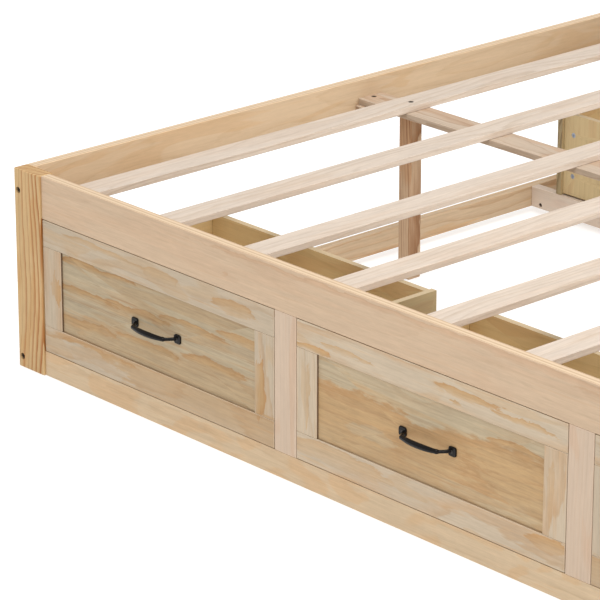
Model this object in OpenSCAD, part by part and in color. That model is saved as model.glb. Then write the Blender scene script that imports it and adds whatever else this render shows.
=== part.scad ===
// Platform bed with six drawers, three on each long side.
// Millimetres. X runs along the bed from the foot end (-X) to the head end (+X), Y across it
// from the left side (-Y) to the right side (+Y), Z up. The origin is on the floor under the
// middle of the bed.

/* [Bed] */
// Length over the end rails
bed_len = 2052; // [1852:10:2252]
// Width over the posts
bed_w = 1660; // [1460:10:1860]
// Height of the posts and rails
frame_h = 368; // [348:2:408]

/* [Side frames] */
// Width of a corner post along the bed
post_x = 70; // [60:1:80]
// Thickness of a corner post across the bed
post_y = 30; // [28:1:40]
// How far a post stands in front of the rails
post_proud = 4; // [2:1:6]
// Thickness of the rails, the stiles and the drawer fronts
board_t = 20; // [18:1:22]
// Height of the top rails
top_rail_h = 78; // [70:1:90]
// Height of the bottom side rails
bottom_rail_h = 45.5; // [40:0.5:50]
// Width of the stiles between the drawers
stile_w = 52; // [44:1:60]

/* [Under frame] */
// Underside of the bottom end rails and the support rails above the floor
low_rail_z = 12; // [8:1:14]
// Height of the bottom end rails and the support rails
low_rail_h = 42; // [40:1:44]
// Centre line of the low bolts above the floor
low_bolt_z = 20; // [19:1:22]

/* [Slats] */
// Number of slats
slat_count = 9; // [7:1:9]
// Width of a slat
slat_w = 55; // [45:1:70]
// Thickness of the slats and of the centre beam
slat_t = 12; // [10:1:14]
// How far the slats lie below the top of the rails
slat_drop = 23; // [15:1:26]
// From the outside of the foot end to the first slat
slat_start = 96.5; // [90:0.5:110]
// From one slat to the next
slat_pitch = 215.5; // [190:0.5:216]

/* [Centre support] */
// Width of the flat centre beam
beam_w = 60; // [50:1:80]
// Side of a square centre leg
leg_side = 30; // [25:1:40]

/* [Drawers] */
// Gap round a drawer front
front_gap = 1.2; // [0.8:0.2:2.4]
// Width of the stiles and rails of a drawer front
member_w = 48; // [40:1:55]
// How far the panel lies behind the face of its frame
panel_set = 4; // [3:0.5:6]
// Thickness of the panel
panel_t = 6; // [4:1:7]
// Width of the drawer box
box_w = 570; // [540:2:574]
// Depth of the drawer box behind the front
box_depth = 362; // [342:2:362]
// Top of the box above the floor
box_top = 224; // [180:2:230]
// Thickness of the sides and the back of the box
box_t = 12; // [11:1:15]
// Thickness of the bottom of the box
bottom_t = 5; // [3:1:6]
// Diameter of the cam in the back of a drawer
cam_d = 10; // [10:1:12]

/* [Handles] */
// Distance between the middles of the two feet
handle_span = 111; // [96:1:128]
// Side of a square foot plate
foot_side = 17; // [15:1:20]
// Reach of the bow in front of its feet
handle_reach = 28; // [18:1:32]
// Diameter of the bow at its middle
bow_d = 10; // [8:0.5:12]

/* [Hidden] */
DRAWERS = 3;
SIDES = ["left", "right"];
ENDS = ["foot", "head"];

hairline = 0.1;           // between boards that share a node
half_len = bed_len / 2;
half_w = bed_w / 2;

// Heights
top_rail_z = frame_h - top_rail_h;
low_rail_top = low_rail_z + low_rail_h;
slat_z = frame_h - slat_drop - slat_t;
beam_z = slat_z - slat_t;
high_bolt_z = frame_h - top_rail_h / 2;

// Left side frame: the outer faces of the post and of the boards
post_face = -half_w;
board_face = post_face + post_proud;
board_back = board_face + board_t;
post_end = -half_len + post_x;

// Drawer openings
clear_len = bed_len - 2 * post_x;
opening_w = (clear_len - (DRAWERS - 1) * stile_w) / DRAWERS;
opening_pitch = opening_w + stile_w;
front_w = opening_w - 2 * front_gap;
front_z = [bottom_rail_h + front_gap, top_rail_z - front_gap];

// Drawer box
box_y = [board_back, board_back + box_depth];
back_y = [box_y[1] - 6 - box_t, box_y[1] - 6];
side_z = low_rail_top + 0.5;
back_z = low_rail_top + 3.5;
bottom_z = side_z + 7.5;
groove = 5;               // depth of the grooves for the bottom
groove_gap = 0.2;
panel_tongue = 7;

// Under frame
end_inner = -half_len + board_t;
support_y = [box_y[1] - 19, box_y[1] + 1];
runner_w = 24;
runner_h = 30;
guide_t = 12;
guide_h = 40;
guide_x = box_w / 2 + 1;  // from the middle of a drawer to its guide

// Ledgers and centre support
ledger = [20, 30];        // thickness and height
cleat = [25, beam_w + 16, 31];
leg_slats = [0, 4, 8];    // the slats that have a leg under them
leg_offset = 6;

// Hardware
bolt_r = 2.5;
bolt_head = [5.2, 5];     // radius and height
bolt_sink = 8;            // depth of the counterbore
bolt_reach = 30;          // from a rail's end to its barrel nut
nut_r = 4;
nut_len = 14;
nut_hole = 17.5;
support_nut_x = 25;
screw_r = 1.9;
screw_head = [5, 2.5];
cam_depth = 9;
cam_inset = 37;
cam_heights = [box_top - 42, back_z + 40];
cam_bolt_r = 2;
cam_bolt_head = [3.5, 2.5];
play = 0.2;

// Handle
foot_t = 2.5;
arm_r = 2.6;
bow_squareness = 2.8;
bow_rings = 18;
bow_sides = 14;

// Colours
post_colour = "#e3bd85";
rail_colour = "#d6b896";
slat_colour = "#ecd9c4";
beam_colour = "#ddc0a0";
low_colour = "#d9b48a";
box_colour = "#bfa678";
front_colour = "#d8c2a0";
panel_colour = "#ccae80";
iron_colour = "#26211e";
zinc_colour = "#aab2bd";
steel_colour = "#5c554c";

function drawer_id(side, n) = str("drawer_", side, "_", n);
DRAWER_PARTS = ["front", "panel", "box", "bottom", "handle", "fittings"];

// A board from low to high corner, given as an X, a Y and a Z span
module board(x, y, z) {
    translate([x[0], y[0], z[0]]) cube([x[1] - x[0], y[1] - y[0], z[1] - z[0]]);
}

// Everything is drawn for the left side or the foot end, and mirrored for the other
module on_side(side) {
    if (side == "right") mirror([0, 1, 0]) children();
    else children();
}

module at_end(end) {
    if (end == "head") mirror([1, 0, 0]) children();
    else children();
}

module on_both_sides() {
    for (s = SIDES) on_side(s) children();
}

module at_both_ends() {
    for (e = ENDS) at_end(e) children();
}

// Rods that point along +X or +Y from their middle of the end face
module rod_x(r, length) { rotate([0, 90, 0]) cylinder(r = r, h = length, $fn = 32); }
module rod_y(r, length) { rotate([-90, 0, 0]) cylinder(r = r, h = length, $fn = 32); }

// ---- Side frames ----

// Places children at the two bolts of a foot-left corner, on the outer face of the post
module at_corner_bolts() {
    for (z = [low_bolt_z, high_bolt_z])
        translate([-half_len + board_t / 2, post_face, z]) children();
}

// Places children at the support rail's bolt, on the outer face of the bottom end rail
module at_support_bolt() {
    translate([-half_len, (support_y[0] + support_y[1]) / 2, low_bolt_z]) children();
}

module post() {
    color(post_colour) difference() {
        board([-half_len, post_end], [post_face, post_face + post_y], [0, frame_h]);
        at_corner_bolts() {
            translate([0, -1, 0]) rod_y(6, bolt_sink + 1);
            rod_y(bolt_r + play, post_y + 1);
        }
    }
}

module top_side_rail() {
    color(rail_colour) board([post_end, -post_end], [board_face, board_back], [top_rail_z, frame_h]);
}

module bottom_side_rail() {
    color(rail_colour) board([post_end, -post_end], [board_face, board_back], [0, bottom_rail_h]);
}

module stiles() {
    color(rail_colour) on_both_sides() for (n = [1:DRAWERS - 1]) {
        right_edge = post_end + n * opening_pitch;
        board([right_edge - stile_w, right_edge], [board_face, board_back], [bottom_rail_h, top_rail_z]);
    }
}

// ---- End rails ----

// An end rail with a bolt hole in each end and a hole for each barrel nut
module end_rail(z, bolt_z, colour) {
    color(colour) difference() {
        board([-half_len, end_inner], [post_face + post_y, half_w - post_y], z);
        on_both_sides() {
            translate([-half_len + board_t / 2, post_face + post_y - 1, bolt_z])
                rod_y(bolt_r + play, bolt_reach + nut_r + 5);
            translate([end_inner - nut_hole, post_face + post_y + bolt_reach, bolt_z])
                rod_x(nut_r + play, nut_hole + 1);
        }
        children();
    }
}

module top_end_rail() {
    end_rail([top_rail_z, frame_h], high_bolt_z, rail_colour);
}

module bottom_end_rail() {
    end_rail([low_rail_z, low_rail_top], low_bolt_z, low_colour) on_both_sides() at_support_bolt() {
        translate([-1, 0, 0]) rod_x(6, bolt_sink + 1);
        rod_x(bolt_r + play, board_t + 1);
    }
}

// ---- Under frame ----

module support_rail() {
    color(low_colour) difference() {
        board([end_inner, -end_inner], support_y, [low_rail_z, low_rail_top]);
        at_both_ends() {
            at_support_bolt() translate([board_t - 1, 0, 0])
                rod_x(bolt_r + play, support_nut_x + nut_r + 5);
            translate([end_inner + support_nut_x, support_y[1] - nut_hole, low_bolt_z])
                rod_y(nut_r + play, nut_hole + 1);
        }
    }
}

// Two runners and two guides behind each opening. The guides keep the box straight, and the
// drawer front stops against their ends.
module drawer_runners() {
    color(low_colour) on_both_sides() for (n = [1:DRAWERS]) {
        middle = opening_middle(n);
        for (m = [0, 1]) translate([middle, 0, 0]) mirror([m, 0, 0]) {
            board([guide_x - runner_w, guide_x - hairline], [board_back, support_y[0]],
                  [low_rail_top - runner_h, low_rail_top]);
            board([guide_x, guide_x + guide_t], [board_back + play, support_y[0]],
                  [low_rail_top - runner_h, low_rail_top - runner_h + guide_h]);
        }
    }
}

// ---- Slats and centre support ----

function slat_x(i) = -half_len + slat_start + i * slat_pitch;
function leg_x(i) = slat_x(i) + slat_w / 2 + leg_offset;
legs = [for (i = leg_slats) if (i < slat_count) i];

// Places children on top of the slats over each leg
module at_leg_screws() {
    for (i = legs) translate([leg_x(i), 0, slat_z + slat_t]) children();
}

// Places children on top of the beam at the foot end
module at_beam_screw() {
    translate([end_inner + 10, 0, beam_z + slat_t]) children();
}

// The room for a sunk screw that points down from its own origin
module screw_hole(length) {
    translate([0, 0, -screw_head[1] - 0.3]) cylinder(r = screw_head[0] + play, h = 5, $fn = 32);
    translate([0, 0, -length - 1]) cylinder(r = screw_r + play, h = length + 1, $fn = 32);
}

module screw(length) {
    difference() {
        union() {
            translate([0, 0, -screw_head[1] - 0.3]) cylinder(r = screw_head[0], h = screw_head[1], $fn = 32);
            translate([0, 0, -length]) cylinder(r = screw_r, h = length - 1, $fn = 24);
        }
        for (a = [0, 90]) rotate([0, 0, a]) translate([-2.2, -0.45, -1.5]) cube([4.4, 0.9, 3]);
    }
}

module slats() {
    slat_half = half_w - post_proud - board_t - 2;
    color(slat_colour) difference() {
        for (i = [0:slat_count - 1])
            board([slat_x(i), slat_x(i) + slat_w], [-slat_half, slat_half], [slat_z, slat_z + slat_t]);
        at_leg_screws() screw_hole(50);
    }
}

module slat_ledgers() {
    color(low_colour) on_both_sides()
        board([post_end + 2, -post_end - 2], [board_back, board_back + ledger[0]],
              [slat_z - ledger[1], slat_z]);
}

module centre_beam() {
    color(beam_colour) difference() {
        board([end_inner, -end_inner], [-beam_w / 2, beam_w / 2], [beam_z, beam_z + slat_t]);
        at_leg_screws() screw_hole(50);
        at_both_ends() at_beam_screw() screw_hole(30);
    }
}

module beam_cleats() {
    color(beam_colour) at_both_ends() difference() {
        board([end_inner, end_inner + cleat[0]], [-cleat[1] / 2, cleat[1] / 2], [beam_z - cleat[2], beam_z]);
        at_beam_screw() screw_hole(30);
    }
}

module centre_legs() {
    color(beam_colour) difference() {
        for (i = legs)
            board([leg_x(i) - leg_side / 2, leg_x(i) + leg_side / 2], [-leg_side / 2, leg_side / 2],
                  [0, beam_z]);
        at_leg_screws() screw_hole(50);
    }
}

// ---- Frame hardware ----

// A socket-head bolt that points along +Z, with its seat at the origin
module bolt(head, r, length) {
    difference() {
        union() {
            translate([0, 0, -head[1]]) cylinder(r = head[0], h = head[1], $fn = 40);
            cylinder(r = r, h = length, $fn = 24);
        }
        translate([0, 0, -head[1] - 1]) cylinder(r = head[0] * 0.5, h = head[1] * 0.6 + 1, $fn = 6);
    }
}

module corner_bolts() {
    color(steel_colour) at_both_ends() on_both_sides() {
        at_corner_bolts() translate([0, bolt_sink, 0]) rotate([-90, 0, 0])
            bolt(bolt_head, bolt_r, post_y - bolt_sink + bolt_reach + 6);
        at_support_bolt() translate([bolt_sink, 0, 0]) rotate([0, 90, 0])
            bolt(bolt_head, bolt_r, board_t - bolt_sink + support_nut_x + 6);
    }
}

// A barrel nut along +Z with its bolt hole along X
module barrel_nut() {
    difference() {
        cylinder(r = nut_r, h = nut_len, $fn = 32);
        translate([-nut_r - 1, 0, nut_len / 2]) rod_x(bolt_r + 0.05, 2 * nut_r + 2);
        translate([-nut_r, -0.5, nut_len - 1]) cube([2 * nut_r, 1, 2]);
    }
}

module barrel_nuts() {
    color(zinc_colour) at_both_ends() on_both_sides() {
        at_corner_bolts() translate([-nut_len / 2, post_y + bolt_reach, 0])
            rotate([0, 90, 0]) rotate([0, 0, 90]) barrel_nut();
        at_support_bolt() translate([board_t + support_nut_x, -nut_len / 2, 0])
            rotate([-90, 0, 0]) barrel_nut();
    }
}

module slat_screws() {
    color(steel_colour) {
        at_leg_screws() screw(48);
        at_both_ends() at_beam_screw() screw(28);
    }
}

// ---- Drawers ----

function opening_middle(n) = post_end + opening_w / 2 + (n - 1) * opening_pitch;

// Moves a drawer drawn about X = 0 to opening n of a side
module at_drawer(side, n) {
    on_side(side) translate([opening_middle(n), 0, 0]) children();
}

panel_x = front_w / 2 - member_w;
panel_z = [front_z[0] + member_w, front_z[1] - member_w];
panel_y = [board_face + panel_set, board_face + panel_set + panel_t];

// The four members of a drawer front, grooved for the panel
module drawer_front() {
    y = [board_face, board_back];
    color(front_colour) difference() {
        union() {
            for (z = [front_z[0], panel_z[1]])
                board([-front_w / 2, front_w / 2], y, [z, z + member_w]);
            for (m = [0, 1]) mirror([m, 0, 0])
                board([panel_x, front_w / 2], y, [panel_z[0] + hairline, panel_z[1] - hairline]);
        }
        panel_board(panel_tongue + 1, groove_gap / 2);
    }
}

// The panel's board, with its edges run out by a tongue and its faces by a clearance
module panel_board(tongue, clearance) {
    board([-panel_x - tongue, panel_x + tongue], [panel_y[0] - clearance, panel_y[1] + clearance],
          [panel_z[0] - tongue, panel_z[1] + tongue]);
}

module drawer_panel() {
    color(panel_colour) difference() {
        panel_board(panel_tongue, 0);
        at_handle_feet() translate([0, -1, 0]) rod_y(screw_r + play, panel_t + 2);
    }
}

// The bottom's board, with its edges run out by a clearance
module bottom_board(clearance) {
    inner = box_w / 2 - box_t;
    board([-inner - groove - clearance + play, inner + groove + clearance - play],
          [box_y[0] + play, back_y[0] + groove + clearance - play],
          [bottom_z - clearance / 2, bottom_z + bottom_t + clearance / 2]);
}

// Places children at the two cams of the box's left half, on the back's outer face
module at_cams() {
    for (z = cam_heights) translate([-box_w / 2 + cam_inset, back_y[1], z]) children();
}

module in_both_halves() {
    for (m = [0, 1]) mirror([m, 0, 0]) children();
}

// The room for the cams and for the bolts that run to them through the sides
module fitting_holes() {
    in_both_halves() at_cams() {
        translate([0, -cam_depth, 0]) rod_y(cam_d / 2 + play, cam_depth + 1);
        translate([-cam_inset - 1, -box_t / 2, 0]) {
            rod_x(cam_bolt_head[0] + play, cam_bolt_head[1] + 1.5);
            rod_x(cam_bolt_r + play, cam_inset + 1);
        }
    }
}

// Two sides and the back between them
module drawer_box() {
    inner = box_w / 2 - box_t;
    color(box_colour) difference() {
        union() {
            in_both_halves() board([inner, box_w / 2], box_y, [side_z, box_top]);
            board([-inner + hairline, inner - hairline], back_y, [back_z, box_top]);
        }
        bottom_board(groove_gap);
        fitting_holes();
    }
}

module drawer_bottom() {
    color(box_colour) bottom_board(0);
}

// Cams and their bolts in the back corners, and the screws of the handle
module drawer_fittings() {
    color(zinc_colour) in_both_halves() at_cams() difference() {
        translate([0, -cam_depth + 0.2, 0]) rod_y(cam_d / 2, cam_depth - 0.7);
        for (a = [0, 90]) rotate([0, a, 0]) translate([-3, -1.5, -0.6]) cube([6, 3, 1.2]);
    }
    color(steel_colour) in_both_halves() at_cams()
        translate([-cam_inset + 0.5 + cam_bolt_head[1], -box_t / 2, 0]) rotate([0, 90, 0])
            bolt(cam_bolt_head, cam_bolt_r, cam_inset - cam_d / 2 - cam_bolt_head[1] - 1);
    color(steel_colour) at_handle_feet() translate([0, -foot_t, 0]) rotate([-90, 0, 0]) {
        translate([0, 0, -1]) cylinder(r = 3, h = 1, $fn = 32);
        cylinder(r = 1.5, h = foot_t + panel_t - 1, $fn = 24);
    }
}

// ---- Handles ----

handle_z = (front_z[0] + front_z[1]) / 2;

// Places children on the panel's face at the middles of the two feet
module at_handle_feet() {
    for (x = [-1, 1]) translate([x * handle_span / 2, panel_y[0], handle_z]) children();
}

// The bow's middle line is half of a squared ellipse that starts on the feet
function signed_pow(v, p) = sign(v) * pow(abs(v), p);
function bow_point(a) = [
    (handle_span / 2 - 5.5) * signed_pow(cos(a), 2 / bow_squareness),
    -(handle_reach - foot_t) * signed_pow(sin(a), 2 / bow_squareness)
];
function bow_radius(a) = arm_r + (bow_d / 2 - arm_r) * pow(sin(a), 3);
function bow_angle(i) = 180 * i / bow_rings;
function bow_ring(i) =
    let (a = bow_angle(i), c = bow_point(a), d = bow_point(a + 1) - bow_point(a - 1), u = d / norm(d),
         r = bow_radius(a))
    [for (k = [0:bow_sides - 1])
        let (t = 360 * k / bow_sides)
        [c[0] - u[1] * r * cos(t), c[1] + u[0] * r * cos(t), r * sin(t)]];

module bow() {
    points = [for (i = [0:bow_rings], p = bow_ring(i)) p];
    walls = [for (i = [0:bow_rings - 1], k = [0:bow_sides - 1])
        let (a = i * bow_sides, b = a + bow_sides, n = (k + 1) % bow_sides)
        [a + k, b + k, b + n, a + n]];
    caps = [[for (k = [0:bow_sides - 1]) k], [for (k = [bow_sides - 1:-1:0]) bow_rings * bow_sides + k]];
    polyhedron(points, concat(walls, caps), convexity = 4);
}

module foot_plate() {
    corner = 3;
    inner = foot_side / 2 - corner;
    rotate([90, 0, 0]) linear_extrude(foot_t) hull()
        for (x = [-inner, inner], y = [-inner, inner]) translate([x, y]) circle(r = corner, $fn = 32);
}

module drawer_handle() {
    color(iron_colour) difference() {
        union() {
            at_handle_feet() foot_plate();
            translate([0, panel_y[0] - foot_t + 0.4, handle_z]) bow();
        }
        at_handle_feet() translate([0, -foot_t - 1, 0]) rod_y(1.5 + play, foot_t + 2);
    }
}

// ---- Assembly ----

for (e = ENDS, s = SIDES)
    at_end(e) on_side(s) post();
for (s = SIDES) {
    on_side(s) top_side_rail();
    on_side(s) bottom_side_rail();
    on_side(s) support_rail();
}
for (e = ENDS) {
    at_end(e) top_end_rail();
    at_end(e) bottom_end_rail();
}
stiles();
slats();
slat_ledgers();
centre_beam();
beam_cleats();
centre_legs();
drawer_runners();
corner_bolts();
barrel_nuts();
slat_screws();
for (s = SIDES, n = [1:DRAWERS]) {
    id = drawer_id(s, n);
    at_drawer(s, n) drawer_front();
    at_drawer(s, n) drawer_panel();
    at_drawer(s, n) drawer_box();
    at_drawer(s, n) drawer_bottom();
    at_drawer(s, n) drawer_handle();
    at_drawer(s, n) drawer_fittings();
}
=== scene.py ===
"""The looks of the pine platform bed with drawers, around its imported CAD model.
Metres, Z up: X runs from the foot end to the head end, Y from the left side to the right side."""

import math

import bmesh
import bpy
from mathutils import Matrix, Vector


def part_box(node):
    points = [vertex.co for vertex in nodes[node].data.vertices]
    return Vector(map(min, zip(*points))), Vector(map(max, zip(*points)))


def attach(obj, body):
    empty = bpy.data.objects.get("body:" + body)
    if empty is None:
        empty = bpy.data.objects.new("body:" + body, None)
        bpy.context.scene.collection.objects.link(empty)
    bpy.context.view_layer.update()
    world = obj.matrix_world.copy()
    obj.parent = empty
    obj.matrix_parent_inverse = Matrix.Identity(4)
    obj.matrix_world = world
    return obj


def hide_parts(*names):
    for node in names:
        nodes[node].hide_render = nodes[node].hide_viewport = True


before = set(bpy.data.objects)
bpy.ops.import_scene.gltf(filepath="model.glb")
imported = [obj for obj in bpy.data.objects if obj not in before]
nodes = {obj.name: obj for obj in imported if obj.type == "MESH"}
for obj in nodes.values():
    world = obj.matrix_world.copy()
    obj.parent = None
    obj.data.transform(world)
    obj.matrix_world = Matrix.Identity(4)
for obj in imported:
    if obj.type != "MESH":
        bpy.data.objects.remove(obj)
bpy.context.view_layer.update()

# ---- Camera ----

LENS_MM = 211.4
SENSOR_MM = 36
CAMERA_PLACE = (3.612, -4.363, 2.268)
CAMERA_AZIMUTH = math.radians(47.82)
CAMERA_PITCH = math.radians(20.27)


def make_camera():
    data = bpy.data.cameras.new("camera")
    data.lens = LENS_MM
    data.sensor_width = SENSOR_MM
    data.clip_end = 200
    camera = bpy.data.objects.new("camera", data)
    camera.location = CAMERA_PLACE
    camera.rotation_euler = (math.pi / 2 - CAMERA_PITCH, 0, CAMERA_AZIMUTH)
    bpy.context.collection.objects.link(camera)
    bpy.context.scene.camera = camera


# ---- Node helpers ----


class Graph:
    """Adds nodes to a tree and links them. A value given as an input is a socket, a number or a tuple."""

    def __init__(self, tree):
        self.tree = tree

    def node(self, kind, **settings):
        made = self.tree.nodes.new(kind)
        for name, value in settings.items():
            setattr(made, name, value)
        return made

    def put(self, socket, value):
        if isinstance(value, bpy.types.NodeSocket):
            self.tree.links.new(value, socket)
        elif value is not None:
            socket.default_value = value

    def math(self, operation, *values):
        made = self.node("ShaderNodeMath", operation=operation)
        for socket, value in zip(made.inputs, values):
            self.put(socket, value)
        return made.outputs[0]

    def chain(self, operation, values):
        made = values[0]
        for value in values[1:]:
            made = self.math(operation, made, value)
        return made

    def times(self, *values):
        return self.chain("MULTIPLY", values)

    def plus(self, *values):
        return self.chain("ADD", values)

    def most(self, *values):
        return self.chain("MAXIMUM", values)

    def minus(self, a, b):
        return self.math("SUBTRACT", a, b)

    def size(self, value):
        return self.math("ABSOLUTE", value)

    def more(self, a, b):
        return self.math("GREATER_THAN", a, b)

    def place(self):
        """The point's place in its piece's own metres, which a pose doesn't change."""
        return self.node("ShaderNodeTexCoord").outputs["Object"]

    def normal(self):
        """The three parts of the surface's true direction."""
        return self.parts(self.node("ShaderNodeNewGeometry").outputs["True Normal"])

    def vector(self, x, y, z):
        made = self.node("ShaderNodeCombineXYZ")
        for socket, value in zip(made.inputs, (x, y, z)):
            self.put(socket, value)
        return made.outputs[0]

    def parts(self, vector):
        made = self.node("ShaderNodeSeparateXYZ")
        self.put(made.inputs[0], vector)
        return made.outputs

    def stretched(self, vector, scales, shift=0.0):
        """vector times scales, moved by shift along its first axis."""
        x, y, z = self.parts(vector)
        x = self.plus(self.times(x, scales[0]), shift)
        return self.vector(x, self.times(y, scales[1]), self.times(z, scales[2]))

    def noise(self, vector, detail=2.0, roughness=0.5, distortion=0.0):
        made = self.node("ShaderNodeTexNoise")
        self.put(made.inputs["Vector"], vector)
        made.inputs["Scale"].default_value = 1.0
        made.inputs["Detail"].default_value = detail
        made.inputs["Roughness"].default_value = roughness
        made.inputs["Distortion"].default_value = distortion
        return made.outputs[0]

    def signed_noise(self, vector, detail=2.0, roughness=0.5):
        return self.minus(self.noise(vector, detail, roughness), 0.5)

    def smooth(self, value, low, high):
        """0 at low and 1 at high, with a soft step between them. low may be the greater."""
        made = self.node("ShaderNodeMapRange", interpolation_type="SMOOTHSTEP")
        for name, given in (("Value", value), ("From Min", low), ("From Max", high)):
            self.put(made.inputs[name], given)
        return made.outputs[0]

    def mix(self, factor, a, b):
        made = self.node("ShaderNodeMix", data_type="RGBA")
        for index, given in ((0, factor), (6, a), (7, b)):
            self.put(made.inputs[index], given)
        return made.outputs[2]

    def scaled(self, vector, factor):
        made = self.node("ShaderNodeVectorMath", operation="SCALE")
        self.put(made.inputs[0], vector)
        self.put(made.inputs["Scale"], factor)
        return made.outputs[0]


def linear(r, g, b):
    """A linear RGBA colour from 8-bit display values."""
    return tuple(((c / 255 + 0.055) / 1.055) ** 2.4 for c in (r, g, b)) + (1.0,)


# ---- Pine ----

# The pine group's inputs. Lengths are in metres, and the rest are strengths from 0 to about 1
PINE_INPUTS = (
    ("Board", "NodeSocketVector", None),
    ("Seed", "NodeSocketFloat", 0.0),
    # The rings: their width, where the pith lies, how it leans and wanders, and the small ripples
    ("Ring width", "NodeSocketFloat", 0.006),
    ("Pith v", "NodeSocketFloat", 0.0),
    ("Pith w", "NodeSocketFloat", -0.05),
    ("Slope", "NodeSocketFloat", 0.0),
    ("Wander", "NodeSocketFloat", 0.01),
    ("Ripple", "NodeSocketFloat", 0.0022),
    ("Contrast", "NodeSocketFloat", 0.5),
    ("Sharpness", "NodeSocketFloat", 0.5),
    # Warm patches: how rare, how many to a metre along u and v, and how strong
    ("Patch level", "NodeSocketFloat", 0.55),
    ("Patch u", "NodeSocketFloat", 4.0),
    ("Patch v", "NodeSocketFloat", 22.0),
    ("Patch amount", "NodeSocketFloat", 0.7),
    ("Mark", "NodeSocketFloat", 0.0),
    ("Rim", "NodeSocketFloat", 0.0),
    # Fine lines, knots and end grain
    ("Streaks", "NodeSocketFloat", 1.0),
    ("Threads", "NodeSocketFloat", 0.1),
    ("Knots", "NodeSocketFloat", 0.0),
    ("End", "NodeSocketFloat", 0.0),
    ("End shade", "NodeSocketFloat", 0.86),
    ("Early", "NodeSocketColor", (0.7, 0.5, 0.3, 1)),
    ("Late", "NodeSocketColor", (0.5, 0.3, 0.1, 1)),
    ("Patch", "NodeSocketColor", (0.6, 0.4, 0.3, 1)),
)
PINE_OUTPUTS = (("Colour", "NodeSocketColor"), ("Height", "NodeSocketFloat"), ("Rough", "NodeSocketFloat"))

# Fine lines and flecks drawn out along the grain: how many to a metre along u, v and w,
# then detail and roughness
FINE_NOISES = {
    "feather": ((22, 170, 170), 2.0, 0.6),
    "fibre": ((9, 420, 420), 3.0, 0.65),
    "streak": ((4, 120, 120), 2.0, 0.6),
    "thread": ((3.2, 250, 250), 3.0, 0.6),
    "fleck": ((45, 290, 290), 2.0, 0.6),
    "mottle": ((13, 62, 62), 3.0, 0.6),
}
# How far a seed of 1 moves a board through the noises
SEED_STRIDE = 41.0
# Knot cells to a metre along u, v and w, the share of them with a knot, and how far it pushes the rings
KNOT_CELLS = (3.1, 9, 3)
KNOT_CHANCE = 0.55
KNOT_PUSH = 0.008
KNOT_COLOUR = linear(150, 96, 52)


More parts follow.
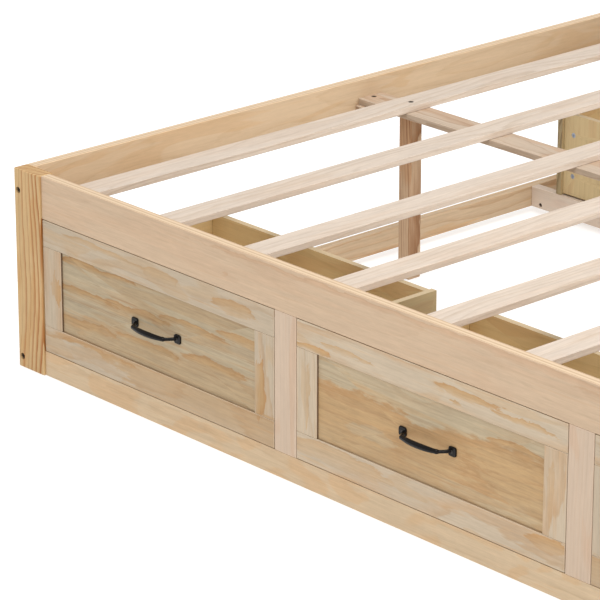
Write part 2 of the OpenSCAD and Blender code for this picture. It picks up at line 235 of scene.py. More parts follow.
def pine_group():
    """Pine as a solid: rings round a pith that runs along u and wanders, with fibres, warm patches and
    pin knots. Board is (u, v, w) in metres: along the grain, across the board's face and through its
    thickness."""
    tree = bpy.data.node_groups.new("pine", "ShaderNodeTree")
    for name, kind, value in PINE_INPUTS:
        socket = tree.interface.new_socket(name, in_out="INPUT", socket_type=kind)
        if value is not None:
            socket.default_value = value
    for name, kind in PINE_OUTPUTS:
        tree.interface.new_socket(name, in_out="OUTPUT", socket_type=kind)
    g = Graph(tree)
    given = g.node("NodeGroupInput").outputs
    board = given["Board"]
    u, v, w = g.parts(board)
    seed = g.times(given["Seed"], SEED_STRIDE)
    fine = {name: g.signed_noise(g.stretched(board, scales, seed), detail, roughness)
            for name, (scales, detail, roughness) in FINE_NOISES.items()}

    # Slow drifts of the rings along the grain, and smaller ripples
    drift_v = g.signed_noise(g.stretched(board, (2.6, 7, 7), seed), 1.0)
    drift_w = g.signed_noise(g.stretched(board, (1.9, 6, 6), g.plus(seed, 9.3)), 1.0)
    ripple = g.signed_noise(g.stretched(board, (15, 46, 46), seed), 2.0)

    # Pin knots, far apart, that push the rings round them
    cells = g.node("ShaderNodeTexVoronoi")
    g.put(cells.inputs["Vector"], g.stretched(board, KNOT_CELLS, seed))
    cells.inputs["Scale"].default_value = 1.0
    near = cells.outputs["Distance"]
    chance = g.more(g.parts(cells.outputs["Color"])[0], 1 - KNOT_CHANCE)
    wanted = g.times(chance, given["Knots"])
    knot_pull = g.times(g.smooth(near, 0.22, 0.0), wanted)
    knot_core = g.times(g.smooth(near, 0.07, 0.03), wanted)

    # Distance from the pith, as a number of rings
    a = g.plus(g.minus(v, given["Pith v"]), g.times(drift_v, given["Wander"]))
    b = g.plus(g.minus(w, given["Pith w"]), g.times(drift_w, given["Wander"]), g.times(u, given["Slope"]))
    radius = g.math("SQRT", g.plus(g.times(a, a), g.times(b, b)))
    feather = g.times(fine["feather"], g.times(given["Ripple"], 0.9))
    radius = g.plus(radius, g.times(ripple, given["Ripple"]), feather, g.times(knot_pull, KNOT_PUSH))
    turns = g.math("DIVIDE", radius, given["Ring width"])

    # A year's ring darkens slowly to its latewood and then ends at once, in a thin dark line
    phase = g.math("FRACT", turns)
    rise = g.smooth(phase, g.times(given["Sharpness"], 0.75), 0.9)
    fall = g.smooth(phase, 1.0, 0.93)
    ring = g.times(rise, fall)
    year = g.noise(g.vector(g.times(g.math("FLOOR", turns), 0.73), 0.5, seed), 0.0)
    late = g.times(ring, g.smooth(year, 0.25, 0.7))
    last = g.times(g.smooth(phase, 0.8, 0.93), g.smooth(phase, 1.0, 0.97))

    # Warm patches with ragged edges
    patch_u = g.plus(g.times(u, given["Patch u"]), g.plus(seed, 3.7))
    patch_at = g.vector(patch_u, g.times(v, given["Patch v"]), g.times(w, 8))
    patch_field = g.plus(g.noise(patch_at, 2.0, 0.5, 0.7), g.times(fine["streak"], 0.07))
    patch = g.smooth(patch_field, given["Patch level"], g.plus(given["Patch level"], 0.06))
    patch = g.most(g.times(patch, given["Patch amount"]), given["Mark"])

    colour = g.mix(patch, given["Early"], given["Patch"])
    colour = g.mix(given["Rim"], colour, g.scaled(given["Late"], 0.94))
    colour = g.mix(g.times(late, given["Contrast"]), colour, given["Late"])
    colour = g.mix(g.times(last, given["Contrast"], 0.4), colour, g.scaled(given["Late"], 0.82))
    uneven = g.plus(g.times(fine["fibre"], 0.25), g.times(fine["streak"], 0.3), g.times(fine["fleck"], 0.22),
                    g.times(fine["mottle"], 0.16))
    colour = g.scaled(colour, g.plus(g.times(uneven, given["Streaks"]), 1.0))
    warm = g.times(g.smooth(fine["streak"], 0.08, 0.24), given["Streaks"], 0.35)
    colour = g.mix(warm, colour, given["Late"])
    threads = g.times(g.smooth(fine["thread"], 0.06, 0.2), given["Threads"], 0.6)
    colour = g.mix(threads, colour, g.scaled(given["Late"], 0.72))
    colour = g.mix(g.times(knot_core, 0.8), colour, KNOT_COLOUR)
    end_colour = g.mix(ring, given["Early"], g.scaled(given["Late"], 0.8))
    colour = g.mix(given["End"], colour, g.scaled(end_colour, given["End shade"]))

    out = g.node("NodeGroupOutput")
    g.put(out.inputs["Colour"], colour)
    g.put(out.inputs["Height"], g.plus(g.times(fine["fibre"], 0.6), g.times(late, 0.5)))
    g.put(out.inputs["Rough"], g.plus(g.minus(0.64, g.times(late, 0.1)), g.times(fine["fibre"], 0.2)))
    return tree


PINE = pine_group()
AXES = {"X": 0, "Y": 1, "Z": 2}
PLY_WAVES = 2.4
PLY_COLOURS = (linear(206, 182, 152), linear(184, 157, 128))
# The colour of the painted shadow line round a drawer's panel
SEAM_SHADOW_COLOUR = linear(88, 56, 34)
# The painted shadow line's inner and outer edges from the opening's edge, and its start behind the frame's
# face, each from where it is faint to where it is full
SEAM_INNER = (-0.0009, -0.0005)
SEAM_OUTER = (0.0006, 0.0004)
SEAM_START = (0.0006, 0.0012)
SEAM_CORNER = 0.0004
# Up-facing sawn box edges: their own greyer tan, with painted shade toning down the light from above
SAWN_TOP_SHADE = linear(180, 162, 133)
# How far the painted shade on a drawer box's outside reaches in from its sides, and from its back end
SHELL_SKIN = 0.0012
SHELL_RECESS = 0.0068

# Early wood, late wood and warm patches of each kind of board
PALES = {
    "rail": (linear(199, 173, 145), linear(183, 149, 116), linear(195, 160, 129)),
    "bottom_rail": (linear(203, 179, 147), linear(185, 148, 107), linear(203, 169, 129)),
    "stile": (linear(201, 179, 157), linear(186, 155, 127), linear(199, 170, 144)),
    "post": (linear(196, 164, 118), linear(160, 99, 43), linear(187, 142, 87)),
    "slat": (linear(198, 183, 168), linear(179, 159, 137), linear(194, 175, 157)),
    "beam": (linear(182, 163, 143), linear(156, 123, 94), linear(176, 147, 121)),
    "leg": (linear(185, 157, 128), linear(140, 96, 59), linear(177, 136, 98)),
    "end": (linear(206, 180, 148), linear(191, 158, 118), linear(200, 167, 128)),
    "low": (linear(198, 174, 144), linear(177, 137, 97), linear(197, 161, 120)),
    "support": (linear(207, 190, 173), linear(186, 163, 143), linear(203, 181, 163)),
    "box": (linear(211, 187, 141), linear(190, 161, 115), linear(205, 174, 129)),
    "front": (linear(186, 169, 146), linear(178, 136, 90), linear(181, 146, 102)),
    "panel": (linear(176, 159, 131), linear(168, 129, 86), linear(178, 143, 98)),
}


def local(g, value, wrap):
    """value measured from the middle of its board. Where boards repeat, wrap is (the first one's middle,
    their pitch)."""
    if not wrap:
        return value
    first, pitch = wrap
    return g.math("WRAP", g.minus(value, first), pitch / 2, -pitch / 2)


def beyond(g, value, low, high):
    """How far value lies outside the stretch from low to high. It is negative inside."""
    return g.minus(g.size(g.minus(value, (low + high) / 2)), (high - low) / 2)


def shaded(g, colour, mask, shade):
    """colour times shade where mask is 1."""
    return g.scaled(colour, g.minus(1.0, g.times(mask, 1 - shade)))


def board_at(g, grain, face, wrap, offset):
    """(u, v, w) for a board whose grain and face width lie along the named axes, and 1 where its end grain
    shows."""
    xyz = g.parts(g.place())
    depth = ({"X", "Y", "Z"} - {grain, face}).pop()
    u = g.plus(xyz[AXES[grain]], offset[0])
    v = g.plus(local(g, xyz[AXES[face]], wrap), offset[1])
    w = g.plus(xyz[AXES[depth]], offset[2])
    normal = g.normal()
    end = g.smooth(g.size(normal[AXES[grain]]), 0.7, 0.9)
    return g.vector(u, v, w), end


def warped(g, along, across):
    """A place along and across the grain, moved by slow waves across it and rough steps along it, and those
    rough steps."""
    waves = g.signed_noise(g.vector(g.times(along, 9), g.times(across, 26), 0.5), 5.0, 0.62)
    rough = g.signed_noise(g.vector(g.times(along, 30), g.times(across, 110), 4.5), 3.0, 0.65)
    across = g.plus(across, g.times(waves, 0.032))
    return g.plus(along, g.times(rough, 0.09)), across, rough


def marks_mask(g, marks, grain, face):
    """How strongly warm marks show, and their darker rims. A mark is a ragged oval in the piece's own
    metres: (along, across, half length, half width, strength). One of negative strength clears the others
    where it lies. An upright oval follows upright grain."""
    xyz = g.parts(g.place())
    place = (xyz[AXES[grain]], xyz[AXES[face]])
    flat_u, flat_v, flat_rough = warped(g, *place)
    upright_v, upright_u, upright_rough = warped(g, *reversed(place))
    total, rim, clear = 0.0, 0.0, 0.0
    for u, v, half_u, half_v, strength in marks:
        upright = half_v > half_u
        at_u, at_v, rough = (upright_u, upright_v, upright_rough) if upright else (flat_u, flat_v, flat_rough)
        du = g.math("DIVIDE", g.minus(at_u, u), half_u)
        dv = g.math("DIVIDE", g.minus(at_v, v), half_v)
        near = g.plus(g.times(du, du), g.times(dv, dv))
        near = g.plus(near, rough)
        inside = g.times(g.smooth(near, 1.1, 0.8), abs(strength))
        if strength < 0:
            clear = g.most(clear, inside)
            continue
        fade = g.smooth(g.plus(du if upright else dv, rough), -1.3, 0.5)
        inside = g.times(inside, g.plus(0.3, g.times(fade, 0.7)))
        edge = g.times(g.times(inside, fade), g.smooth(near, 0.4, 0.9))
        total = g.most(total, inside)
        rim = g.most(rim, g.times(edge, strength))
    kept = g.minus(1.0, clear)
    return g.times(total, kept), g.times(rim, kept)


def eased(g):
    """1 on the rounded edges of a board, whose faces lie between its axes, and 0 on its flat faces."""
    normal = g.normal()
    flat = g.size(normal[0])
    for part in (normal[1], normal[2]):
        flat = g.most(flat, g.size(part))
    return g.smooth(flat, 0.99, 0.9)


def ply_edges(g, colour, plies):
    """The edges of a plywood board: pale and tan plies across its thickness. plies is (axis, low, high)."""
    axis, low, high = plies
    place = g.parts(g.place())
    normal = g.normal()
    across = g.math("DIVIDE", g.minus(place[AXES[axis]], low), high - low)
    wave = g.math("SINE", g.times(g.plus(across, 0.05), PLY_WAVES * 2 * math.pi))
    fibre_at = g.stretched(g.place(), (60, 60, 60))
    wave = g.plus(wave, g.signed_noise(fibre_at, 2.0))
    ply = g.mix(g.smooth(wave, 0.1, 0.75), *PLY_COLOURS)
    on_edge = g.smooth(g.size(normal[AXES[axis]]), 0.5, 0.3)
    return g.mix(on_edge, colour, ply)


def turned_boards(g, place, board, end, second, offset):
    """Boards whose grain turns outside a box: the uprights of a frame, or the sides of a drawer."""
    low, high, grain, face, wrap = second
    turned, turned_end = board_at(g, grain, face, wrap, offset)
    x_out = g.more(beyond(g, place[0], low[0], high[0]), 0.0)
    z_in = g.math("LESS_THAN", beyond(g, place[2], low[1], high[1]), 0.0)
    outside = g.times(x_out, z_in)
    choice = g.node("ShaderNodeMix", data_type="VECTOR")
    for index, given in ((0, outside), (4, board), (5, turned)):
        g.put(choice.inputs[index], given)
    return choice.outputs[1], g.plus(g.times(end, g.minus(1.0, outside)), g.times(turned_end, outside))


def paint_shell_shade(g, colour, place, normal, shell):
    """Painted shade on a drawer box's upright faces, outside the box and in its back's shallow recess."""
    low, high, shade_x, shade_y = shell
    depths = ((0, SHELL_SKIN), (1, SHELL_RECESS))
    out = [beyond(g, place[axis], low[axis] + depth, high[axis] - depth) for axis, depth in depths]
    outside = g.more(g.most(*out), 0.0)
    for axis, shade in ((0, shade_x), (1, shade_y)):
        colour = shaded(g, colour, g.times(outside, g.smooth(g.size(normal[axis]), 0.6, 0.8)), shade)
    return colour


def painted_seam_shadow(g, colour, place, seam_shadow):
    """A dark line of painted shadow where a drawer's panel meets its frame, faint along the grain and strong
    up the sides.
    """
    low, high, front, side = seam_shadow
    dx = beyond(g, place[0], low[0], high[0])
    dz = beyond(g, place[2], low[1], high[1])
    away = g.most(dx, dz)
    line = g.times(g.smooth(away, *SEAM_INNER), g.smooth(away, *SEAM_OUTER))
    behind = g.times(g.minus(front, place[1]), side)
    line = g.times(line, g.smooth(behind, *SEAM_START))
    upright = g.more(dx, g.minus(dz, SEAM_CORNER))
    depth = g.plus(0.3, g.times(upright, 0.42))
    return g.mix(g.times(line, depth), colour, SEAM_SHADOW_COLOUR)


def wood_material(name, pale, grain, face, wrap=None, offset=(0, 0, 0), second=None, spread=0.0,
                  seed=0.0, marks=(), seam_shadow=None, plies=None, arris=0.5, arris_tone=1.22, painted_face_shading=None,
                  shell=None, top=None, tone=1.0, painted_light_tilt=None, **figure):
    """Pine for boards along one grain. What is left of the keywords goes to the pine group's inputs.

    wrap        (middle of the first board, pitch) for boards that repeat across the grain
    offset      what is added to a place along the grain, the face and the depth
    second      (low, high, grain, face, wrap): outside that box, (x, z) to (x, z), the boards turn
    spread      how far the pith differs from board to board
    marks       warm marks, as marks_mask takes them
    seam        (low, high, front, side): an opening with a painted shadow line round it, the frame's face
            in Y, and -1 on the left side or 1 on the right
    plies       (axis, low, high): a plywood board's thickness, seen on its edges
    arris       how strongly rounded edges show, in the early wood times arris_tone: the sanded wood's own
            tone with a painted highlight
    painted_face_shading  (axis, shade): painted light or shade, the faces across that axis made lighter or
    darker
    shell       (low, high, shade in X, shade in Y): painted shade on the outside of that box
    top         the colour of the faces that look up; on the drawer boxes it holds painted shade
    tone, tilt  the wood's brightness, and (axis, how much lighter it gets in a metre along it): painted
            light that evens out how the light falls across a board"""
    material = bpy.data.materials.new(name)
    material.use_nodes = True
    tree = material.node_tree
    g = Graph(tree)
    shader = tree.nodes["Principled BSDF"]
    place, normal = g.parts(g.place()), g.normal()
    board, end = board_at(g, grain, face, wrap, offset)
    if second:
        board, end = turned_boards(g, place, board, end, second, offset)
    island = g.node("ShaderNodeNewGeometry").outputs["Random Per Island"]
    early, late, patch = PALES[pale]
    inputs = {"Board": board, "End": end, "Seed": g.plus(island, seed)}
    inputs.update(Early=early, Late=late, Patch=patch)
    inputs.update((socket.replace("_", " "), value) for socket, value in figure.items())
    if spread:
        away = g.times(g.minus(g.math("FRACT", g.times(island, 91.7)), 0.5), spread)
        inputs["Pith v"] = g.plus(away, figure.get("Pith_v", 0.0))
    if marks:
        inputs["Mark"], inputs["Rim"] = marks_mask(g, marks, grain, face)
    pine = g.node("ShaderNodeGroup", node_tree=PINE)
    for socket, value in inputs.items():
        g.put(pine.inputs[socket], value)

    tint = g.plus(0.97 * tone, g.times(island, 0.06 * tone))
    # Painted light: the wood is made lighter along one axis, evening out how the light falls on the board
    if painted_light_tilt:
        tint = g.plus(tint, g.times(place[AXES[painted_light_tilt[0]]], painted_light_tilt[1]))
    colour = g.scaled(pine.outputs["Colour"], tint)
    # Painted light and shade: the faces across one axis are made lighter or darker
    if painted_face_shading:
        axis, shade = painted_face_shading
        colour = shaded(g, colour, g.smooth(g.size(normal[AXES[axis]]), 0.6, 0.8), shade)
    # Painted shade on a drawer box's outside and in its back's recess
    if shell:
        colour = paint_shell_shade(g, colour, place, normal, shell)
    # The faces that look up take the top colour, which on the drawer boxes holds painted shade
    if top:
        colour = g.mix(g.times(g.smooth(normal[2], 0.7, 0.9), 0.85), colour, top)
    if plies:
        colour = ply_edges(g, colour, plies)
    # Rounded edges in the early wood: the sanded wood's own tone with a painted highlight
    if arris:
        colour = g.mix(g.times(eased(g), arris), colour, g.scaled(early[:3], arris_tone))
    # Painted shadow line round a drawer's panel, in the groove where it meets its frame
    if seam_shadow:
        colour = painted_seam_shadow(g, colour, place, seam_shadow)
    g.put(shader.inputs["Base Color"], colour)
    g.put(shader.inputs["Roughness"], pine.outputs["Rough"])
    shader.inputs["Specular IOR Level"].default_value = 0.28
    bump = g.node("ShaderNodeBump")
    bump.inputs["Strength"].default_value = 0.25
    bump.inputs["Distance"].default_value = 0.0006
    g.put(bump.inputs["Height"], pine.outputs["Height"])
    g.put(shader.inputs["Normal"], bump.outputs["Normal"])
    return material


# ---- Metals ----


# Grains to a metre in a metal's skin
FINE_GRAIN = 900.0
BROAD_GRAIN = 90.0


def metal_material(name, colour, roughness, metallic, speckle, specular=0.5, front=None):
    """A metal or lacquered metal with faint unevenness in its colour and gloss. front is (distance from the
    bed's middle, colour): beyond that distance the metal has the other colour."""
    material = bpy.data.materials.new(name)
    material.use_nodes = True
    tree = material.node_tree
    g = Graph(tree)
    shader = tree.nodes["Principled BSDF"]
    place = g.place()
    fine = g.noise(g.scaled(place, FINE_GRAIN), 3.0, 0.6)
    broad = g.signed_noise(g.scaled(place, BROAD_GRAIN))
    bright = tuple(min(1.0, c * 1.5 + 0.01) for c in colour[:3]) + (1.0,)
    mixed = g.mix(g.times(fine, speckle), colour, bright)
    if front:
        far = g.more(g.size(g.parts(place)[1]), front[0])
        mixed = g.mix(far, mixed, front[1])
    g.put(shader.inputs["Base Color"], mixed)
    g.put(shader.inputs["Roughness"], g.plus(roughness, g.times(broad, 0.25)))
    shader.inputs["Metallic"].default_value = metallic
    shader.inputs["Specular IOR Level"].default_value = specular
    bump = g.node("ShaderNodeBump")
    bump.inputs["Strength"].default_value = 0.3
    bump.inputs["Distance"].default_value = 0.0002
    g.put(bump.inputs["Height"], fine)
    g.put(shader.inputs["Normal"], bump.outputs["Normal"])
    return material


# ---- Edges ----

WELD_DISTANCE = 0.00001
SHARP_ANGLE = math.radians(50)
LONG_EDGE = 0.0032
FLAT_ANGLE = math.radians(0.5)


def weld_nodes(name, smooth):
    """The nodes of a modifier that welds the CAD mesh's split corners and shades it flat or smooth. Its long
    sharp edges are marked for a bevel, and the short ones, which run round holes, stay crisp."""
    tree = bpy.data.node_groups.new(name, "GeometryNodeTree")
    tree.interface.new_socket("Geometry", in_out="INPUT", socket_type="NodeSocketGeometry")
    tree.interface.new_socket("Geometry", in_out="OUTPUT", socket_type="NodeSocketGeometry")
    g = Graph(tree)
    ends = g.node("GeometryNodeInputMeshEdgeVertices").outputs
    length = g.node("ShaderNodeVectorMath", operation="DISTANCE")
    g.put(length.inputs[0], ends["Position 1"])
    g.put(length.inputs[1], ends["Position 2"])
    sharp = g.more(g.node("GeometryNodeInputMeshEdgeAngle").outputs[0], SHARP_ANGLE)
    long_sharp = g.times(sharp, g.more(length.outputs["Value"], LONG_EDGE))
    short_sharp = g.minus(sharp, long_sharp)

    weld = g.node("GeometryNodeMergeByDistance")
    edges = g.node("GeometryNodeSetShadeSmooth", domain="EDGE")
    faces = g.node("GeometryNodeSetShadeSmooth", domain="FACE")
    marked = g.node("GeometryNodeStoreNamedAttribute", data_type="FLOAT", domain="EDGE")
    g.put(weld.inputs["Distance"], WELD_DISTANCE)
    g.put(edges.inputs["Shade Smooth"], g.minus(1.0, short_sharp))
    g.put(faces.inputs["Shade Smooth"], smooth)
    g.put(marked.inputs["Name"], "bevel_weight_edge")
    g.put(marked.inputs["Value"], long_sharp)
    geometry = g.node("NodeGroupInput").outputs[0]
    for step in (weld, edges, faces, marked):
        g.put(step.inputs["Geometry"], geometry)
        geometry = step.outputs["Geometry"]
    g.put(g.node("NodeGroupOutput").inputs[0], geometry)
    return tree


WELD = weld_nodes("weld_and_smooth", True)
WELD_FLAT = weld_nodes("weld_and_flatten", False)


def ease_edges(piece, width):
    """Welds the CAD mesh and rounds its edges, as a sander does. A width of 0 leaves it crisp and flat."""
    weld = piece.modifiers.new("weld", "NODES")
    weld.node_group = WELD if width else WELD_FLAT
    if not width:
        return
    plain = piece.modifiers.new("whole_faces", "DECIMATE")
    plain.decimate_type = "DISSOLVE"
    plain.angle_limit = FLAT_ANGLE
    bevel = piece.modifiers.new("bevel", "BEVEL")
    bevel.width = width
    bevel.segments = 3
    bevel.limit_method = "WEIGHT"
    bevel.use_clamp_overlap = False
    flat = piece.modifiers.new("normals", "WEIGHTED_NORMAL")
    flat.mode = "FACE_AREA"
    flat.weight = 100
    flat.keep_sharp = True


def dress(names, material, edge=None):
    """Gives nodes a material and rounds their edges by edge metres. Without it their mesh stays as it is."""
    for name in names:
        piece = nodes[name]
        piece.data.materials.clear()
        piece.data.materials.append(material)
        if edge is not None:
            ease_edges(piece, edge)


# ---- The frame ----

SIDES = ("left", "right")
ENDS = ("foot", "head")
DRAWERS = [f"drawer_{side}_{n}" for side in SIDES for n in (1, 2, 3)]
EDGE = 0.0014
POST_EDGE = 0.0015
THIN_EDGE = 0.0008
SLAT_COUNT = 9
SLAT_W = 0.055
# Near the middle of the boards, where their figure is measured from
TOP_RAIL_Z = 0.329
BOTTOM_RAIL_Z = 0.023
BEAM_Z = 0.33
SIDE_Y = 0.8
# Warm streaks along the top side rails and a pin knot: (x, z, half length, half width, strength)
TOP_RAIL_MARKS = (
    (0.25, 0.359, 0.8, 0.006, 0.7),
    (0.6, 0.35, 0.3, 0.006, 0.6),
    (-0.47, 0.32, 0.008, 0.003, 0.8),
)


def middle(name):
    low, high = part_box(name)
    return (low + high) / 2


def dress_posts():
    for i, name in enumerate(f"post_{end}_{side}" for end in ENDS for side in SIDES):
        at = middle(name)
        wood = wood_material(name, "post", "Z", "X", offset=(0, -at.x, -at.y), seed=0.31 * i, arris=0.2,
                             Ring_width=0.0105, Pith_v=-0.055, Pith_w=0.012, Wander=0.07, Ripple=0.004,
                             Contrast=1.0, Sharpness=0.5, Patch_level=0.5, Patch_amount=0.4, End_shade=0.95)
        dress([name], wood, POST_EDGE)


def dress_side_rails():
    for i, side in enumerate(SIDES):
        low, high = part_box(f"top_rail_{side}")
        top = wood_material(f"top_rail_{side}", "rail", "X", "Z", offset=(0, -TOP_RAIL_Z, SIDE_Y),
                            seed=0.37 * i, marks=TOP_RAIL_MARKS, plies=("Y", low.y, high.y),
                            Ring_width=0.012, Pith_v=0.02, Pith_w=-0.06, Slope=0.01, Wander=0.06,
                            Ripple=0.003, Contrast=0.18, Sharpness=0.3, Patch_level=0.55, Patch_u=3.0,
                            Patch_v=30.0, Patch_amount=0.2, Streaks=0.9, Knots=0.5)
        dress([f"top_rail_{side}"], top, EDGE)
        bottom = wood_material(f"bottom_rail_{side}", "bottom_rail", "X", "Z",
                               offset=(0, -BOTTOM_RAIL_Z, SIDE_Y), seed=0.53 * i + 0.2, Ring_width=0.012,
                               Pith_v=0.01, Pith_w=-0.05, Slope=0.01, Wander=0.06, Ripple=0.004,
                               Contrast=0.3, Patch_level=0.52, Patch_u=8.0, Patch_v=18.0,
                               Patch_amount=0.65, Knots=0.5)
        dress([f"bottom_rail_{side}"], bottom, EDGE)
        support = wood_material(f"support_rail_{side}", "support", "X", "Z", seed=0.41 * i + 0.1,
                                Ring_width=0.006, Wander=0.03, Contrast=0.3, Streaks=0.7)
        dress([f"support_rail_{side}"], support, EDGE)


def dress_stiles():
    """The stiles stand between the drawers, at the drawers' own pitch."""
    pitch = middle("drawer_left_2_front").x - middle("drawer_left_1_front").x
    stiles = wood_material("stile_pine", "stile", "Z", "X", (-pitch / 2, pitch), (0, 0, SIDE_Y),
                           spread=0.06, Ring_width=0.007, Pith_w=-0.03, Wander=0.03, Contrast=0.22,
                           Patch_level=0.56, Streaks=0.6)
    dress(["stiles"], stiles, EDGE)


def dress_end_rails():
    for i, end in enumerate(ENDS):
        low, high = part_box(f"top_rail_{end}")
        at = (low + high) / 2
        # Painted light: the end top rails get lighter towards the left side, where the side rail shades them
        top = wood_material(f"top_rail_{end}", "end", "Y", "Z", offset=(0, -at.z, -at.x), seed=0.29 * i,
                            painted_light_tilt=("Y", -0.13), plies=("X", low.x, high.x), Ring_width=0.016, Pith_v=0.012,
                            Pith_w=0.03, Slope=0.012, Wander=0.12, Ripple=0.006, Contrast=0.3,
                            Patch_level=0.52, Patch_amount=0.6, Streaks=0.6, Knots=0.6)
        dress([f"top_rail_{end}"], top, EDGE)
        at = middle(f"bottom_rail_{end}")
        bottom = wood_material(f"bottom_rail_{end}", "low", "Y", "Z", offset=(0, -at.z, -at.x),
                               seed=0.29 * i + 0.5, Ring_width=0.012, Pith_v=0.05, Wander=0.06,
                               Ripple=0.004, Contrast=0.6, Knots=0.6)
        dress([f"bottom_rail_{end}"], bottom, EDGE)


def dress_slats_and_beam():
    low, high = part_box("slats")
    pitch = (high.x - low.x - SLAT_W) / (SLAT_COUNT - 1)
    slats = wood_material("slat_pine", "slat", "Y", "X", (low.x + SLAT_W / 2, pitch), (0, 0, -low.z),
                          # Painted light: the slats' faces across X are made lighter
                          spread=0.08, arris=0.5, arris_tone=0.92, painted_face_shading=("X", 1.24),
                          Ring_width=0.008, Wander=0.07, Ripple=0.003, Contrast=0.5, Patch_level=0.54,
                          Patch_amount=0.5, Knots=0.7)
    dress(["slats"], slats, EDGE)
    beam = wood_material("beam_pine", "beam", "X", "Y", offset=(0, 0, -BEAM_Z), Ring_width=0.009,
                         Pith_w=-0.035, Slope=0.02, Wander=0.08, Ripple=0.004, Contrast=0.8, Patch_level=0.5)
    dress(["centre_beam", "beam_cleats"], beam, EDGE)
    # Painted shade: the legs' faces across Y are made a little darker
    legs = wood_material("leg_pine", "leg", "Z", "Y", seed=0.2, painted_face_shading=("Y", 0.98), arris=0.3,
                         Ring_width=0.0065, Pith_w=-0.02, Slope=0.03, Wander=0.04, Ripple=0.003, Contrast=1.0,
                         Sharpness=0.4, Knots=0.8)
    dress(["centre_legs"], legs, EDGE)


def dress_hidden():
    runners = wood_material("runner_pine", "low", "Y", "Z", Contrast=0.7)
    dress(["drawer_runners"], runners, THIN_EDGE)
    ledgers = wood_material("ledger_pine", "low", "X", "Z", Contrast=0.7)
    dress(["slat_ledgers"], ledgers, THIN_EDGE)


# ---- The drawers ----

FRONT_EDGE = 0.0013
FRONT_MEMBER = 0.048
BOX_T = 0.012
BACK_GAP = 0.001
# How far the stretch that holds the back is taken past its box, above and below
CLEAR = 1.0
# Marks on the two kinds of front and panel, as marks_mask takes them, from the drawer's middle line and
# the floor
FRONT_MARKS = (
    ((0.267, 0.145, 0.0135, 0.058, 1.0), (-0.268, 0.168, 0.014, 0.02, 0.95), (0.05, 0.065, 0.42, 0.04, 0.6),
     (-0.215, 0.058, 0.14, 0.026, -1.0), (-0.16, 0.082, 0.11, 0.008, 0.9), (-0.135, 0.2725, 0.11, 0.006, 0.6),
     (0.015, 0.27, 0.05, 0.014, 0.6), (0.205, 0.2625, 0.055, 0.0125, 0.75)),
    ((0.09, 0.27, 0.075, 0.008, 0.9), (0.21, 0.264, 0.07, 0.005, 0.75), (0.06, 0.2525, 0.009, 0.005, 0.8),
     (-0.26, 0.249, 0.05, 0.006, 0.95), (-0.19, 0.263, 0.06, 0.005, 0.6), (-0.2, 0.075, 0.12, 0.018, 0.5),
     (0.27, 0.08, 0.05, 0.013, 0.85), (-0.275, 0.17, 0.006, 0.06, 0.45), (0.268, 0.16, 0.006, 0.05, 0.4)),
)
PANEL_MARKS = (
    ((-0.16, 0.2325, 0.1, 0.007, 1.0), (-0.19, 0.181, 0.08, 0.008, 0.95), (-0.05, 0.186, 0.09, 0.008, 0.9),
     (0.09, 0.196, 0.09, 0.008, 0.9), (0.22, 0.209, 0.07, 0.008, 0.9), (-0.19, 0.121, 0.09, 0.011, 0.85),
     (-0.02, 0.131, 0.09, 0.01, 0.9), (0.15, 0.147, 0.09, 0.009, 0.9), (0.05, 0.112, 0.45, 0.03, 0.4)),
    ((-0.15, 0.125, 0.3, 0.078, 0.8), (0.2, 0.135, 0.3, 0.078, 0.8), (0.2, 0.212, 0.07, 0.007, 0.9),
     (-0.13, 0.14, 0.06, 0.012, -0.5), (0.14, 0.11, 0.12, 0.012, -0.45)),
)


def drawer_marks(kinds, i, middle_x):
    """The marks of the i-th drawer: its own kind, turned end for end after the first two."""
    flip = 1 if i < 2 else -1
    return tuple((middle_x + flip * u, *rest) for u, *rest in kinds[i % 2])


def dress_front(i, name, side):
    """A drawer's frame and its sunk panel, with one painted shadow line between them."""
    low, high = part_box(f"{name}_front")
    at = (low + high) / 2
    face = low.y if side < 0 else high.y
    opening = ((low.x + FRONT_MEMBER, low.z + FRONT_MEMBER), (high.x - FRONT_MEMBER, high.z - FRONT_MEMBER))
    seam_shadow = opening + (face, side)
    rails = (low.z + FRONT_MEMBER / 2, high.z - low.z - FRONT_MEMBER)
    uprights = (low.x + FRONT_MEMBER / 2, high.x - low.x - FRONT_MEMBER)
    second_kind = i % 2
    tone = 1.09 if second_kind else 1.0
    front = wood_material(f"{name}_front", "front", "X", "Z", rails, (-at.x, 0, SIDE_Y),
                          second=opening + ("Z", "X", uprights), spread=0.05, seed=0.17 * i,
                          marks=drawer_marks(FRONT_MARKS, i, at.x), seam_shadow=seam_shadow, arris=0.9, tone=tone,
                          Ring_width=0.034, Pith_w=-0.03, Slope=0.05, Wander=0.16, Ripple=0.012,
                          Contrast=0.4, Sharpness=0.66, Patch_level=0.56, Patch_u=6.0, Patch_v=26.0,
                          Patch_amount=0.3)
    dress([f"{name}_front"], front, FRONT_EDGE)
    panel = wood_material(f"{name}_panel", "panel", "X", "Z", offset=(-at.x, -at.z, SIDE_Y), seed=0.23 * i,
                          marks=drawer_marks(PANEL_MARKS, i, at.x), seam_shadow=seam_shadow, tone=tone, Ring_width=0.03,
                          Pith_v=0.05, Pith_w=-0.02, Slope=0.05, Wander=0.16, Ripple=0.01, Contrast=0.35,
                          Sharpness=0.4, Patch_level=0.54, Patch_u=2.0, Patch_v=24.0, Patch_amount=0.35,
                          Streaks=1.4, Threads=0.45 if second_kind else 0.8)
    dress([f"{name}_panel"], panel, 0)


